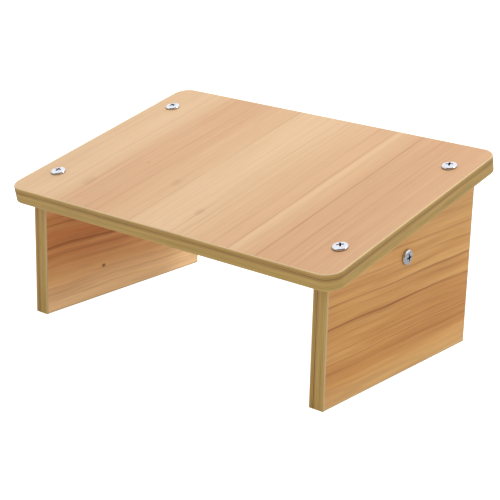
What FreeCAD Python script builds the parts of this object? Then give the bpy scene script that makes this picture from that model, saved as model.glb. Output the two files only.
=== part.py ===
import FreeCAD, Part
import Sketcher
import os
import re

# Slant board: a sloping foot board screwed onto two upright side panels, with one cross rail
# hidden under the board. Everything is cut from wood-print laminated particleboard, with a
# banding strip glued round each edge that shows.
#
# The frame of the whole: X runs across the board, Y from its low front edge to its high back
# edge, Z up. The origin is on the floor under the middle of the board.

V = FreeCAD.Vector
NEAR = 0.01

# Millimetres, and degrees for the slope.
SIZES = {
    "top_width": 400,            # foot board, side to side
    "top_depth": 265,            # foot board, front to back along the slope
    "board_thickness": 16,       # every panel, faces included
    "corner_radius": 16,         # foot board's corners, seen from above
    "slope": 13.2,               # foot board to the floor
    "side_overhang": 17.5,       # foot board past a side panel's outer face
    "front_overhang": 16,        # foot board past the side panels, along the slope
    "back_overhang": 15,         # the same at the back
    "panel_front_height": 120,   # side panel's front edge, floor to the foot board's underside
    "laminate_thickness": 0.8,   # printed sheet on a panel's face
    "band_thickness": 1.5,       # banding strip on a panel's edge
    "band_arris": 0.8,           # rounding of a banding strip's outer edges
    "band_seam": 0.2,            # gap where the foot board's strip meets its own end
    "rail_height": 66,           # cross rail, square to the foot board
    "rail_setback": 113,         # side panel's top front corner to the rail's middle, along the slope
    "screw_inset": 46.5,         # foot board's front or back edge to a screw
    "screw_length": 50,          # under the head
    "thread_diameter": 6,
    "root_diameter": 4.2,
    "thread_pitch": 3,
    "thread_width": 1.6,         # one ridge where it meets the shank
    "plain_shank": 16,           # no thread, right under the head
    "tip_length": 4,
    "thread_root_bury": 0.2,     # how far a ridge starts inside the shank
    "head_diameter": 14.5,
    "head_height": 3.2,
    "head_rim": 1.9,             # straight side up to the head's crown
    "head_shoulder": 1,          # rounding between the side and the crown
    "recess_span": 7.4,          # cross recess at the crown
    "recess_width": 1.7,
    "recess_floor_span": 2.4,    # cross recess at its floor
    "recess_floor_width": 1.2,
    "recess_depth": 2.6,
    "passing_clearance": 0.4,    # added to the thread's diameter where a screw passes through
    "pilot_clearance": 0.1,      # added to the thread's diameter where a screw bites
    "pilot_relief": 1,           # drilled past a screw's tip
}

doc = FreeCAD.newDocument("SlantBoard")
sheet = doc.addObject("Spreadsheet::Sheet", "Sizes")
for row, (name, size) in enumerate(SIZES.items(), start=1):
    sheet.set(f"A{row}", name)
    sheet.set(f"B{row}", str(size))
    sheet.setAlias(f"B{row}", name)
doc.recompute()

# Expressions are written with the bare names of the sizes. These are the ones used in several
# places. "low" and "high" are the side panels' front and back faces; "seat_y" and "seat_z" are
# the foot board's bottom front edge, where the sloping frame of the foot board, the rail and
# the top screws has its origin.
PANEL_OUT = "(top_width / 2 - side_overhang)"
PANEL_IN = "(top_width / 2 - side_overhang - board_thickness)"
PANEL_MID = "(top_width / 2 - side_overhang - board_thickness / 2)"
CORE = "(board_thickness - 2 * laminate_thickness)"
LOW = "((board_thickness * sin(slope) - (top_depth - 2 * front_overhang) * cos(slope)) / 2)"
PANEL_DEPTH = "((top_depth - front_overhang - back_overhang) * cos(slope))"
SEAT_Y = f"({LOW} - front_overhang * cos(slope))"
SEAT_Z = "(panel_front_height - front_overhang * sin(slope))"
RAIL_Y = "(front_overhang + rail_setback)"
PASSING = "thread_diameter + passing_clearance"
PILOT = "thread_diameter + pilot_clearance"
PILOT_DEPTH = "screw_length - board_thickness + pilot_relief"
SCREW_ROWS = ("screw_inset", "top_depth - screw_inset")


def bound(text):
    """The expression with each size's name pointing at the sheet."""
    return re.sub(r"\b(" + "|".join(SIZES) + r")\b", r"Sizes.\1", text)


def worth(text):
    return float(sheet.evalExpression(bound(text)))


def new_body(label):
    body = doc.addObject("PartDesign::Body", label)
    body.Label = label
    return body


def slope_frame(body, across="0", along="0", above="0"):
    """Puts a body in the sloping frame, at a point given in that frame."""
    body.Placement = FreeCAD.Placement(V(), FreeCAD.Rotation(V(1, 0, 0), worth("slope")))
    spots = {
        "x": across,
        "y": f"{SEAT_Y} + ({along}) * cos(slope) - ({above}) * sin(slope)",
        "z": f"{SEAT_Z} + ({along}) * sin(slope) + ({above}) * cos(slope)",
    }
    body.setExpression("Placement.Rotation.Angle", bound("slope"))
    for axis, text in spots.items():
        body.setExpression(f"Placement.Base.{axis}", bound(text))


def new_sketch(body, label, plane, lift="0"):
    """A sketch parallel to one of the body's own origin planes, lifted along its normal."""
    sketch = body.newObject("Sketcher::SketchObject", label)
    support = [o for o in body.Origin.OriginFeatures if o.Role == plane][0]
    sketch.AttachmentSupport = [(support, "")]
    sketch.MapMode = "FlatFace"
    sketch.setExpression("AttachmentOffset.Base.z", bound(lift))
    return sketch


def pin(sketch, geo, point, across, up):
    """Ties one point of a sketch to the sketch's origin with two bound distances."""
    for kind, text, axis in (("DistanceX", across, -2), ("DistanceY", up, -1)):
        if text == "0":
            sketch.addConstraint(Sketcher.Constraint("PointOnObject", geo, point, axis))
        else:
            tie = Sketcher.Constraint(kind, -1, 1, geo, point, worth(text))
            sketch.setExpression(f"Constraints[{sketch.addConstraint(tie)}]", bound(text))


def polygon(sketch, corners):
    """A closed outline through corners given as pairs of expressions."""
    spots = [V(worth(x), worth(y), 0) for x, y in corners]
    lines = [sketch.addGeometry(Part.LineSegment(a, b))
             for a, b in zip(spots, spots[1:] + spots[:1])]
    for line, after in zip(lines, lines[1:] + lines[:1]):
        sketch.addConstraint(Sketcher.Constraint("Coincident", line, 2, after, 1))
    for line, (x, y) in zip(lines, corners):
        pin(sketch, line, 1, x, y)


def rectangle(sketch, x0, x1, y0, y1):
    polygon(sketch, [(x0, y0), (x1, y0), (x1, y1), (x0, y1)])


def circles(sketch, centres, diameter):
    for x, y in centres:
        geo = sketch.addGeometry(Part.Circle(V(worth(x), worth(y), 0), V(0, 0, 1),
                                             worth(diameter) / 2))
        pin(sketch, geo, 3, x, y)
        tie = sketch.addConstraint(Sketcher.Constraint("Diameter", geo, worth(diameter)))
        sketch.setExpression(f"Constraints[{tie}]", bound(diameter))


def pad(body, label, sketch, length):
    feature = body.newObject("PartDesign::Pad", label)
    feature.Profile = sketch
    feature.setExpression("Length", bound(length))
    doc.recompute()
    return feature


def drill(body, label, sketch, depth=None, reverse=False):
    """A pocket against the sketch's normal, right through where no depth is given."""
    before = body.Shape.Volume
    feature = body.newObject("PartDesign::Pocket", label)
    feature.Profile = sketch
    feature.Reversed = reverse
    if depth is None:
        feature.Type = "ThroughAll"
    else:
        feature.setExpression("Length", bound(depth))
    doc.recompute()
    if not feature.Shape.Volume < before - NEAR:
        raise ValueError(f"{body.Label}: {label} removed nothing")


def round_edges(body, label, radius, chosen):
    """Fillets the edges of the body's last feature that the test picks."""
    last = body.Tip
    picked = [f"Edge{i}" for i, edge in enumerate(last.Shape.Edges, start=1) if chosen(edge)]
    feature = body.newObject("PartDesign::Fillet", label)
    feature.Base = (last, picked)
    feature.setExpression("Radius", bound(radius))
    doc.recompute()


def lies(edge, axis, text):
    """True where the whole edge keeps one coordinate."""
    level = worth(text)
    return all(abs(getattr(edge.valueAt(t), axis) - level) < NEAR
               for t in (edge.FirstParameter, (edge.FirstParameter + edge.LastParameter) / 2,
                         edge.LastParameter))


def runs(edge, axis):
    """True for a straight edge parallel to an axis."""
    if edge.Curve.TypeId != "Part::GeomLine":
        return False
    return abs(abs(getattr(edge.tangentAt(edge.FirstParameter), axis)) - 1) < NEAR


# ------------------------------------------------------------------ the foot board
# Drawn lying flat in the sloping frame: underside at height 0, front edge at 0 along Y.

def foot_board_layer(label, base, thickness):
    """One layer of the foot board inside its banding, with four passing holes."""
    body = new_body(label)
    slope_frame(body)
    outline = new_sketch(body, "outline", "XY_Plane", base)
    rectangle(outline, "-(top_width / 2 - band_thickness)", "top_width / 2 - band_thickness",
              "band_thickness", "top_depth - band_thickness")
    pad(body, "sheet", outline, thickness)
    round_edges(body, "corners", "corner_radius - band_thickness", lambda e: runs(e, "z"))
    holes = new_sketch(body, "hole_centres", "XY_Plane", f"{base} + {thickness}")
    circles(holes, [(side + PANEL_MID, row) for side in ("-", "") for row in SCREW_ROWS],
            PASSING)
    drill(body, "screw_holes", holes)
    return body


def foot_board_band():
    """The banding strip: one closed loop with a butt seam in the middle of the back edge."""
    body = new_body("top_edge_band")
    slope_frame(body)
    outer = new_sketch(body, "outer_outline", "XY_Plane")
    rectangle(outer, "-top_width / 2", "top_width / 2", "0", "top_depth")
    pad(body, "blank", outer, "board_thickness")
    inner = new_sketch(body, "inner_outline", "XY_Plane", "board_thickness")
    rectangle(inner, "-(top_width / 2 - band_thickness)", "top_width / 2 - band_thickness",
              "band_thickness", "top_depth - band_thickness")
    drill(body, "hollow", inner)
    half = worth("top_width / 2")
    round_edges(body, "inner_corners", "corner_radius - band_thickness",
                lambda e: runs(e, "z") and abs(e.valueAt(e.FirstParameter).x) < half - NEAR)
    round_edges(body, "outer_corners", "corner_radius",
                lambda e: runs(e, "z") and abs(abs(e.valueAt(e.FirstParameter).x) - half) < NEAR)

    def outer_rim(edge):
        if not (lies(edge, "z", "0") or lies(edge, "z", "board_thickness")):
            return False
        if edge.Curve.TypeId == "Part::GeomCircle":
            return abs(edge.Curve.Radius - worth("corner_radius")) < NEAR
        return (lies(edge, "x", "top_width / 2") or lies(edge, "x", "-top_width / 2")
                or lies(edge, "y", "0") or lies(edge, "y", "top_depth"))

    round_edges(body, "arris", "band_arris", outer_rim)
    seam = new_sketch(body, "seam_line", "XY_Plane", "board_thickness")
    rectangle(seam, "-band_seam / 2", "band_seam / 2", "top_depth - 2 * band_thickness",
              "top_depth + band_thickness")
    drill(body, "seam", seam)
    return body


# ------------------------------------------------------------------ the side panels
# Drawn upright. Their tops are cut to the slope and carry the foot board.

def slab(label, start, thickness, near, far, bottom, top=None):
    """A piece of a side panel: an outline in the YZ plane given a thickness along X. "near"
    and "far" are distances behind the panel's front face; the top follows the slope unless a
    height is given."""
    body = new_body(label)
    outline = new_sketch(body, "outline", "YZ_Plane", start)
    near_top = top or f"panel_front_height + ({near}) * tan(slope)"
    far_top = top or f"panel_front_height + ({far}) * tan(slope)"
    polygon(outline, [(f"{LOW} + {near}", bottom), (f"{LOW} + {far}", bottom),
                      (f"{LOW} + {far}", far_top), (f"{LOW} + {near}", near_top)])
    pad(body, "sheet", outline, thickness)
    return body


def rail_screw_hole(body, face):
    """The passing hole for the screw that holds the rail, halfway down the rail."""
    hole = new_sketch(body, "rail_hole_centre", "YZ_Plane", face)
    circles(hole, [(f"{SEAT_Y} + {RAIL_Y} * cos(slope) + rail_height / 2 * sin(slope)",
                    f"{SEAT_Z} + {RAIL_Y} * sin(slope) - rail_height / 2 * cos(slope)")],
            PASSING)
    drill(body, "rail_hole", hole)


def side_panel(name, side):
    """Core, two printed faces and three banding strips; side is 1 on the right, -1 on the
    left."""
    inner_edge = ("band_thickness", f"{PANEL_DEPTH} - band_thickness")
    layers = {
        "inner_laminate": (PANEL_IN, "laminate_thickness"),
        "core": (f"({PANEL_IN} + laminate_thickness)", CORE),
        "outer_laminate": (f"({PANEL_OUT} - laminate_thickness)", "laminate_thickness"),
    }
    bodies = []
    for layer, (start, thickness) in layers.items():
        first = start if side > 0 else f"-({start} + {thickness})"
        body = slab(f"{name}_panel_{layer}", first, thickness, *inner_edge, "band_thickness")
        rail_screw_hole(body, f"{first} + {thickness}")
        if layer == "core":
            tops = new_sketch(body, "pilot_centres", "XY_Plane", SEAT_Z)
            tops.AttachmentOffset = FreeCAD.Placement(
                V(), FreeCAD.Rotation(V(1, 0, 0), worth("slope")))
            tops.setExpression("AttachmentOffset.Rotation.Angle", bound("slope"))
            tops.setExpression("AttachmentOffset.Base.y", bound(SEAT_Y))
            middle = PANEL_MID if side > 0 else f"-{PANEL_MID}"
            circles(tops, [(middle, row) for row in SCREW_ROWS], PILOT)
            drill(body, "pilot_holes", tops, PILOT_DEPTH)
        bodies.append(body)

    whole = (PANEL_IN if side > 0 else f"-{PANEL_OUT}", "board_thickness")
    front = slab(f"{name}_panel_front_band", *whole, "0", "band_thickness", "0")
    round_edges(front, "arris", "band_arris", lambda e: runs(e, "z") and lies(e, "y", LOW))
    back = slab(f"{name}_panel_back_band", *whole, f"{PANEL_DEPTH} - band_thickness",
                PANEL_DEPTH, "0")
    round_edges(back, "arris", "band_arris",
                lambda e: runs(e, "z") and lies(e, "y", f"{LOW} + {PANEL_DEPTH}"))
    bottom = slab(f"{name}_panel_bottom_band", *whole, *inner_edge, "0", "band_thickness")
    round_edges(bottom, "arris", "band_arris", lambda e: runs(e, "y") and lies(e, "z", "0"))
    return bodies + [front, back, bottom]


# ------------------------------------------------------------------ the cross rail
# Square to the foot board, its sawn top edge tight against the underside.

def rail_block(label, near, depth, bottom, height):
    """A piece of the rail. "near" is counted from the rail's front face."""
    body = new_body(label)
    slope_frame(body)
    outline = new_sketch(body, "outline", "XY_Plane", bottom)
    front = f"{RAIL_Y} - board_thickness / 2 + {near}"
    rectangle(outline, f"-{PANEL_IN}", PANEL_IN, front, f"{front} + {depth}")
    pad(body, "sheet", outline, height)
    return body


def cross_rail():
    low = "-(rail_height - band_thickness)"
    high = "rail_height - band_thickness"
    core = rail_block("rail_core", "laminate_thickness", CORE, low, high)
    for end, reverse in ((PANEL_IN, False), (f"-{PANEL_IN}", True)):
        hole = new_sketch(core, "pilot_centre", "YZ_Plane", end)
        circles(hole, [(RAIL_Y, "-rail_height / 2")], PILOT)
        drill(core, "pilot_hole", hole, PILOT_DEPTH, reverse)
    front = rail_block("rail_front_laminate", "0", "laminate_thickness", low, high)
    back = rail_block("rail_back_laminate", "board_thickness - laminate_thickness",
                      "laminate_thickness", low, high)
    band = rail_block("rail_bottom_band", "0", "board_thickness", "-rail_height",
                      "band_thickness")
    round_edges(band, "arris", "band_arris",
                lambda e: runs(e, "x") and lies(e, "z", "-rail_height"))
    return [core, front, back, band]


# ------------------------------------------------------------------ the screws
# Drawn head up, the head's seat at height 0.

def cross_outline(body, label, height, span, width, turn):
    """The outline of a cross recess, turned about the screw's axis."""
    sketch = new_sketch(body, label, "XY_Plane", height)
    sketch.AttachmentOffset = FreeCAD.Placement(V(), FreeCAD.Rotation(V(0, 0, 1), turn))
    far, near = f"{span} / 2", f"{width} / 2"
    quarter = [(far, near), (near, near), (near, far)]
    corners = []
    for _ in range(4):
        corners += quarter
        quarter = [(f"-{y}" if y[0] != "-" else y[1:], x) for x, y in quarter]
    polygon(sketch, corners)
    return sketch


def truss_screw(label, turn):
    """A domed-head wood screw with a cross recess and a coarse thread."""
    body = new_body(label)
    profile = new_sketch(body, "half_profile", "XZ_Plane")
    stations = [("0", "-screw_length"), ("root_diameter / 2", "tip_length - screw_length"),
                ("root_diameter / 2", "0"), ("head_diameter / 2", "0"),
                ("head_diameter / 2", "head_rim"), ("0", "head_height")]
    spots = [V(worth(x), worth(y), 0) for x, y in stations]
    rise = worth("head_height - head_rim")
    crown = (spots[4].x ** 2 + rise ** 2) / (2 * rise)
    half_way = V(spots[4].x / 2, spots[5].y - crown + (crown ** 2 - spots[4].x ** 2 / 4) ** 0.5, 0)
    geos = [profile.addGeometry(Part.LineSegment(a, b)) for a, b in zip(spots[:4], spots[1:5])]
    dome = profile.addGeometry(Part.Arc(spots[4], half_way, spots[5]))
    axis = profile.addGeometry(Part.LineSegment(spots[5], spots[0]))
    for first, second in zip(geos, geos[1:]):
        profile.addConstraint(Sketcher.Constraint("Coincident", first, 2, second, 1))
    for geo, (x, y) in zip(geos, stations):
        pin(profile, geo, 1, x, y)
    pin(profile, geos[3], 2, *stations[4])
    # An arc counts its ends anticlockwise: its first is the rim and its second the crown.
    profile.addConstraint(Sketcher.Constraint("Coincident", geos[3], 2, dome, 1))
    pin(profile, dome, 2, *stations[5])
    profile.addConstraint(Sketcher.Constraint("Coincident", dome, 2, axis, 1))
    profile.addConstraint(Sketcher.Constraint("Coincident", axis, 2, geos[0], 1))
    tie = profile.addConstraint(Sketcher.Constraint("Radius", dome, crown))
    profile.setExpression(f"Constraints[{tie}]", bound(
        "((head_diameter / 2) ^ 2 + (head_height - head_rim) ^ 2)"
        " / (2 * (head_height - head_rim))"))
    spin_axis = [o for o in body.Origin.OriginFeatures if o.Role == "Z_Axis"][0]
    turned = body.newObject("PartDesign::Revolution", "turned_blank")
    turned.Profile = profile
    turned.ReferenceAxis = (spin_axis, [""])
    turned.Angle = 360
    doc.recompute()
    round_edges(body, "shoulder", "head_shoulder",
                lambda e: e.Length > worth("head_diameter") and lies(e, "z", "head_rim"))

    ridge = new_sketch(body, "ridge", "XZ_Plane")
    start = "(tip_length + thread_width - screw_length)"
    polygon(ridge, [("root_diameter / 2 - thread_root_bury", f"{start} - thread_width / 2"),
                    ("thread_diameter / 2", start),
                    ("root_diameter / 2 - thread_root_bury", f"{start} + thread_width / 2")])
    thread = body.newObject("PartDesign::AdditiveHelix", "thread")
    thread.Profile = ridge
    thread.ReferenceAxis = (spin_axis, [""])
    thread.Mode = "pitch-height-angle"
    thread.setExpression("Pitch", bound("thread_pitch"))
    thread.setExpression("Height", bound(f"-{start} - plain_shank - thread_width / 2"))
    doc.recompute()

    crown_cross = cross_outline(body, "recess_crown", "head_height", "recess_span",
                                "recess_width", turn)
    floor_cross = cross_outline(body, "recess_floor", "head_height - recess_depth",
                                "recess_floor_span", "recess_floor_width", turn)
    doc.recompute()
    recess = body.newObject("PartDesign::SubtractiveLoft", "cross_recess")
    recess.Profile = crown_cross
    recess.Sections = [floor_cross]
    recess.Ruled = True
    doc.recompute()
    return body


def foot_board_screws():
    """Four screws down through the foot board into the side panels' top edges."""
    turns = {"front_left": 12, "front_right": 38, "back_left": 64, "back_right": 25}
    bodies = []
    for place, turn in turns.items():
        body = truss_screw(f"top_screw_{place}", turn)
        across = PANEL_MID if place.endswith("right") else f"-{PANEL_MID}"
        along = SCREW_ROWS[0] if place.startswith("front") else SCREW_ROWS[1]
        slope_frame(body, across, along, "board_thickness")
        bodies.append(body)
    return bodies


def rail_screws():
    """One screw through each side panel into the end of the rail."""
    bodies = []
    for name, side, turn in (("left", -1, 50), ("right", 1, 8)):
        body = truss_screw(f"rail_screw_{name}", turn)
        body.Placement = FreeCAD.Placement(V(), FreeCAD.Rotation(V(0, 1, 0), 90 * side))
        spots = {
            "x": f"{side} * {PANEL_OUT}",
            "y": f"{SEAT_Y} + {RAIL_Y} * cos(slope) + rail_height / 2 * sin(slope)",
            "z": f"{SEAT_Z} + {RAIL_Y} * sin(slope) - rail_height / 2 * cos(slope)",
        }
        for axis, text in spots.items():
            body.setExpression(f"Placement.Base.{axis}", bound(text))
        bodies.append(body)
    return bodies


pieces = [
    foot_board_layer("top_lower_laminate", "0", "laminate_thickness"),
    foot_board_layer("top_core", "laminate_thickness", CORE),
    foot_board_layer("top_upper_laminate", "(board_thickness - laminate_thickness)",
                     "laminate_thickness"),
    foot_board_band(),
]
pieces += side_panel("left", -1)
pieces += side_panel("right", 1)
pieces += cross_rail()
pieces += foot_board_screws()
pieces += rail_screws()
doc.recompute()

for item in doc.Objects:
    if "Invalid" in item.State or "Error" in item.State:
        raise ValueError(f"{item.Label} did not compute: {item.State}")
for piece in pieces:
    if piece.Shape.isNull() or not piece.Shape.isValid() or len(piece.Shape.Solids) != 1:
        raise ValueError(f"{piece.Label} is not one sound solid")

os.makedirs("parts", exist_ok=True)
for piece in pieces:
    piece.Shape.exportStep(f"parts/{piece.Label}.step")
print(len(pieces), "pieces written")
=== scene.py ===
# %% [markdown]
# # A slant board for a physiotherapy room
# The board is cut from wood-print laminated particleboard: a sloping foot board, two upright
# side panels and a cross rail hidden underneath. A plastic banding strip is glued round every
# edge, and six chrome screws hold it together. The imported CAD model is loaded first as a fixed
# frame. Its flat sheets stay and only get their finishes here; the banding strips and the
# screws are modelled again, because their rounded edges and threads carry the highlights.

# %% Load the fixed frame
import math

import bmesh
import bpy
from mathutils import Matrix, Vector


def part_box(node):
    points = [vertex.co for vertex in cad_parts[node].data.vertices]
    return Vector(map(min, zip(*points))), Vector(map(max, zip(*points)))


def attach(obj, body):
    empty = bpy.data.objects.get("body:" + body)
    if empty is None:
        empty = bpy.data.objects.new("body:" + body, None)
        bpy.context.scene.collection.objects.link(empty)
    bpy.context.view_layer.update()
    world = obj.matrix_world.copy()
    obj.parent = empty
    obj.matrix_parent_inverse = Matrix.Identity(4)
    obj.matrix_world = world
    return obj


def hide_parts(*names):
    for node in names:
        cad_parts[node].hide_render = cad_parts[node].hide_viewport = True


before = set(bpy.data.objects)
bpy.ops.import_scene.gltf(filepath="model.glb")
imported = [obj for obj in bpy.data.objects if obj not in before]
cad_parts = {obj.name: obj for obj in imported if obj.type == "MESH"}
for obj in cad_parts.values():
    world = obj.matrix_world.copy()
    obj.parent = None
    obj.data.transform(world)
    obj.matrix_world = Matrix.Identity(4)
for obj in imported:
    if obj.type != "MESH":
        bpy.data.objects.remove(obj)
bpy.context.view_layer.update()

print("CAD nodes:", len(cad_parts))

# %% [markdown]
# ## One place for the sizes
# Everything is in metres. The foot board slopes, so its own frame is a turned one: X across
# the board, Y along the slope from its low front edge, Z out of its face. Most of what follows
# is drawn flat in that frame and then carried over by one matrix, which is far easier than
# working out slanted points one by one. The matrix comes from the underside sheet's box.

# %% Sizes and the foot board's sloping frame
SLOPE = math.radians(13.2)
BOARD_THICK = 0.016
SHEET_THICK = 0.0008
STRIP_THICK = 0.0015
ARRIS = 0.0008
CORNER_RADIUS = 0.016
SEAM = 0.0002

underside_low, underside_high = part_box("top_lower_laminate")
sheet_depth = (underside_high.y - underside_low.y) / math.cos(SLOPE)
sheet_depth -= SHEET_THICK * math.tan(SLOPE)
TOP_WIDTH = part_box("top_edge_band")[1].x * 2
TOP_DEPTH = round(sheet_depth + 2 * STRIP_THICK, 5)
seat = Vector((0,
               underside_high.y - (TOP_DEPTH - STRIP_THICK) * math.cos(SLOPE),
               underside_low.z - STRIP_THICK * math.sin(SLOPE)))
BOARD = Matrix.Translation(seat) @ Matrix.Rotation(SLOPE, 4, "X")
print("foot board", round(TOP_WIDTH, 4), "by", TOP_DEPTH, "from", [round(v, 5) for v in seat])


# %% [markdown]
# ## Helpers for node trees
# Every finish and every repeated shape below is a tree of nodes. Writing each node by hand
# takes five or six lines, so a few short helpers do it: one adds a node and fills its inputs,
# one adds a Math node, one opens a new group with named inputs and outputs, and one places a
# group in a tree. An input is either a plain value or another node's output, and the helper
# joins or sets it.

# %% Node helpers
def add(tree, kind, inputs=None, **settings):
    """One new node, its settings first and then its inputs: values or other nodes' outputs."""
    node = tree.nodes.new(kind)
    for name, value in settings.items():
        setattr(node, name, value)
    for key, value in (inputs or {}).items():
        if isinstance(value, bpy.types.NodeSocket):
            tree.links.new(value, node.inputs[key])
        else:
            node.inputs[key].default_value = value
    return node


def work(tree, operation, *values):
    """The result of one Math node."""
    return add(tree, "ShaderNodeMath", dict(enumerate(values)), operation=operation).outputs[0]


def tools(tree):
    """Two shorthands for one tree: a new node's outputs, and a Math node's result.

    A kind without "Node" in it is a Geometry Node.
    """
    def outputs_of(kind, inputs=None, **settings):
        kind = kind if "Node" in kind else "GeometryNode" + kind
        return add(tree, kind, inputs, **settings).outputs

    def maths(operation, *values):
        return work(tree, operation, *values)
    return outputs_of, maths


def new_group(name, kind, takes, gives):
    """A node group with named inputs (name, socket type, value) and outputs (name, type)."""
    tree = bpy.data.node_groups.new(name, kind)
    for label, socket, value in takes:
        made = tree.interface.new_socket(name=label, in_out="INPUT", socket_type=socket)
        if value is not None:
            made.default_value = value
    for label, socket in gives:
        tree.interface.new_socket(name=label, in_out="OUTPUT", socket_type=socket)
    return tree, add(tree, "NodeGroupInput").outputs, add(tree, "NodeGroupOutput")


def place(tree, group, **inputs):
    """A group placed in a tree. Underscores in an input's name stand for spaces."""
    named = {key.replace("_", " "): value for key, value in inputs.items()}
    return add(tree, "ShaderNodeGroup", named, node_tree=group).outputs


def srgb(red, green, blue):
    """A colour as a paint chart gives it, 0 to 255, turned into Blender's linear light."""
    def linear(c):
        c /= 255
        return c / 12.92 if c <= 0.04045 else ((c + 0.055) / 1.055) ** 2.4
    return (linear(red), linear(green), linear(blue), 1.0)


FLOAT, VECTOR = "NodeSocketFloat", "NodeSocketVector"
print("helpers ready")

# %% [markdown]
# ## What printed wood grain is made of
# The sheets carry a printed fruit-wood grain, sealed under a satin film. Seen close up a print
# like that is five things on top of each other: broad bands of tone, a slow drift to paler and
# darker, growth lines that sway together, fine fibre streaks, and pores and specks. The effects
# that come back are small shader groups, built once and used with other values in the printed
# sheets, in the banding strip and on the core. The groups only put out masks and values.

# %% Group: grain lines that sway together
sway, given, out = new_group(
    "grain_sway", "ShaderNodeTree",
    [("Across", FLOAT, 0), ("Along", FLOAT, 0), ("Sway", FLOAT, 0.002), ("Waves", FLOAT, 8),
     ("Ripple", FLOAT, 0.0003), ("Seed", FLOAT, 0)],
    [("Across", FLOAT)])


def wander(tree, across, along, across_scale, along_scale, seed, detail=2.0):
    """Smooth noise from -1 to 1, stretched along the grain."""
    spot = add(tree, "ShaderNodeCombineXYZ", {
        "X": work(tree, "MULTIPLY", across, across_scale),
        "Y": work(tree, "MULTIPLY", along, along_scale), "Z": seed})
    noise = add(tree, "ShaderNodeTexNoise",
                {"Vector": spot.outputs[0], "Scale": 1.0, "Detail": detail})
    return work(tree, "MULTIPLY_ADD", noise.outputs["Fac"], 2.0, -1.0)


maths = tools(sway)[1]
slow = wander(sway, given["Across"], given["Along"], 14.0, given["Waves"], given["Seed"])
fast = wander(sway, given["Across"], given["Along"], 60.0,
              maths("MULTIPLY", given["Waves"], 6.0), given["Seed"])
shift = maths("ADD", maths("MULTIPLY", slow, given["Sway"]),
              maths("MULTIPLY", fast, given["Ripple"]))
sway.links.new(maths("ADD", given["Across"], shift), out.inputs[0])
print("group", sway.name)

# %% [markdown]
# A growth line is soft on one side, where the wood darkens slowly through a summer, and sharp
# on the other, where the next spring starts. A smooth step on each side, multiplied, gives
# that. A negative width turns the line round. It also fades in and out along its length.

# %% Group: one growth line
growth_line, given, out = new_group(
    "growth_line", "ShaderNodeTree",
    [("Across", FLOAT, 0), ("Along", FLOAT, 0), ("Place", FLOAT, 0), ("Width", FLOAT, 0.002),
     ("Strength", FLOAT, 1), ("Seed", FLOAT, 0)],
    [("Mask", FLOAT)])


def ease(tree, value, low, high, to_low=0.0, to_high=1.0):
    """A smooth step of a value between two limits."""
    return add(tree, "ShaderNodeMapRange",
               {"Value": value, "From Min": low, "From Max": high, "To Min": to_low,
                "To Max": to_high}, interpolation_type="SMOOTHSTEP").outputs[0]


maths = tools(growth_line)[1]
offset = maths("DIVIDE", maths("SUBTRACT", given["Across"], given["Place"]), given["Width"])
body_of_line = maths("MULTIPLY", ease(growth_line, offset, -1.0, 0.0),
                     ease(growth_line, offset, 0.0, 0.35, 1.0, 0.0))
along_fade = ease(growth_line, wander(growth_line, given["Place"], given["Along"], 900.0, 9.0,
                                      given["Seed"]), -0.45, 0.25, 0.35, 1.0)
growth_line.links.new(
    maths("MULTIPLY", maths("MULTIPLY", body_of_line, along_fade), given["Strength"]),
    out.inputs[0])
print("group", growth_line.name)

# %% [markdown]
# Fibres are streaks a few tenths of a millimetre wide and some centimetres long. Noise that
# is squeezed across the grain and stretched along it draws them. Pores are the darkest bits of
# a second, shorter noise, cut off with a steep step.

# %% Group: fibres and pores
wood_fibre, given, out = new_group(
    "wood_fibre", "ShaderNodeTree",
    [("Across", FLOAT, 0), ("Along", FLOAT, 0), ("Seed", FLOAT, 0), ("Pore Amount", FLOAT, 0.3)],
    [("Fibre", FLOAT), ("Pores", FLOAT), ("Height", FLOAT)])
maths = tools(wood_fibre)[1]
wide_fibre = wander(wood_fibre, given["Across"], given["Along"], 420.0, 9.0, given["Seed"], 3.0)
fine_fibre = wander(wood_fibre, given["Across"], given["Along"], 1700.0, 45.0, given["Seed"], 2.0)
fibre = maths("ADD", maths("MULTIPLY", wide_fibre, 0.65), maths("MULTIPLY", fine_fibre, 0.35))
dashes = wander(wood_fibre, given["Across"], given["Along"], 1300.0, 110.0, given["Seed"], 0.0)
pore_edge = maths("SUBTRACT", 0.85, given["Pore Amount"])
pores = ease(wood_fibre, dashes, pore_edge, maths("ADD", pore_edge, 0.12))
height = maths("SUBTRACT", maths("MULTIPLY", fibre, 0.4), pores)
for name, value in (("Fibre", fibre), ("Pores", pores), ("Height", height)):
    wood_fibre.links.new(value, out.inputs[name])
print("group", wood_fibre.name)

# %% [markdown]
# Two small effects are shared by all finishes: a spot, for a knot or a speck with a ragged
# edge, and an uneven sheen, the slight cloudiness that handling leaves in any satin or
# polished surface. The second one only moves the roughness up and down.

# %% Groups: a spot and an uneven sheen
spot_mark, given, out = new_group(
    "spot_mark", "ShaderNodeTree",
    [("Across", FLOAT, 0), ("Along", FLOAT, 0), ("Place Across", FLOAT, 0),
     ("Place Along", FLOAT, 0), ("Size", FLOAT, 0.003), ("Stretch", FLOAT, 1.5)],
    [("Mask", FLOAT)])
maths = tools(spot_mark)[1]
off_across = maths("SUBTRACT", given["Across"], given["Place Across"])
off_along = maths("DIVIDE", maths("SUBTRACT", given["Along"], given["Place Along"]),
                  given["Stretch"])
reach = maths("SQRT", maths("ADD", maths("MULTIPLY", off_across, off_across),
                            maths("MULTIPLY", off_along, off_along)))
ragged = wander(spot_mark, given["Across"], given["Along"], 350.0, 350.0, 4.0)
ragged = maths("MULTIPLY_ADD", ragged, 0.35, 1.0)
reach = maths("DIVIDE", maths("MULTIPLY", reach, ragged), given["Size"])
spot_mark.links.new(ease(spot_mark, reach, 0.25, 1.0, 1.0, 0.0), out.inputs[0])

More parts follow.
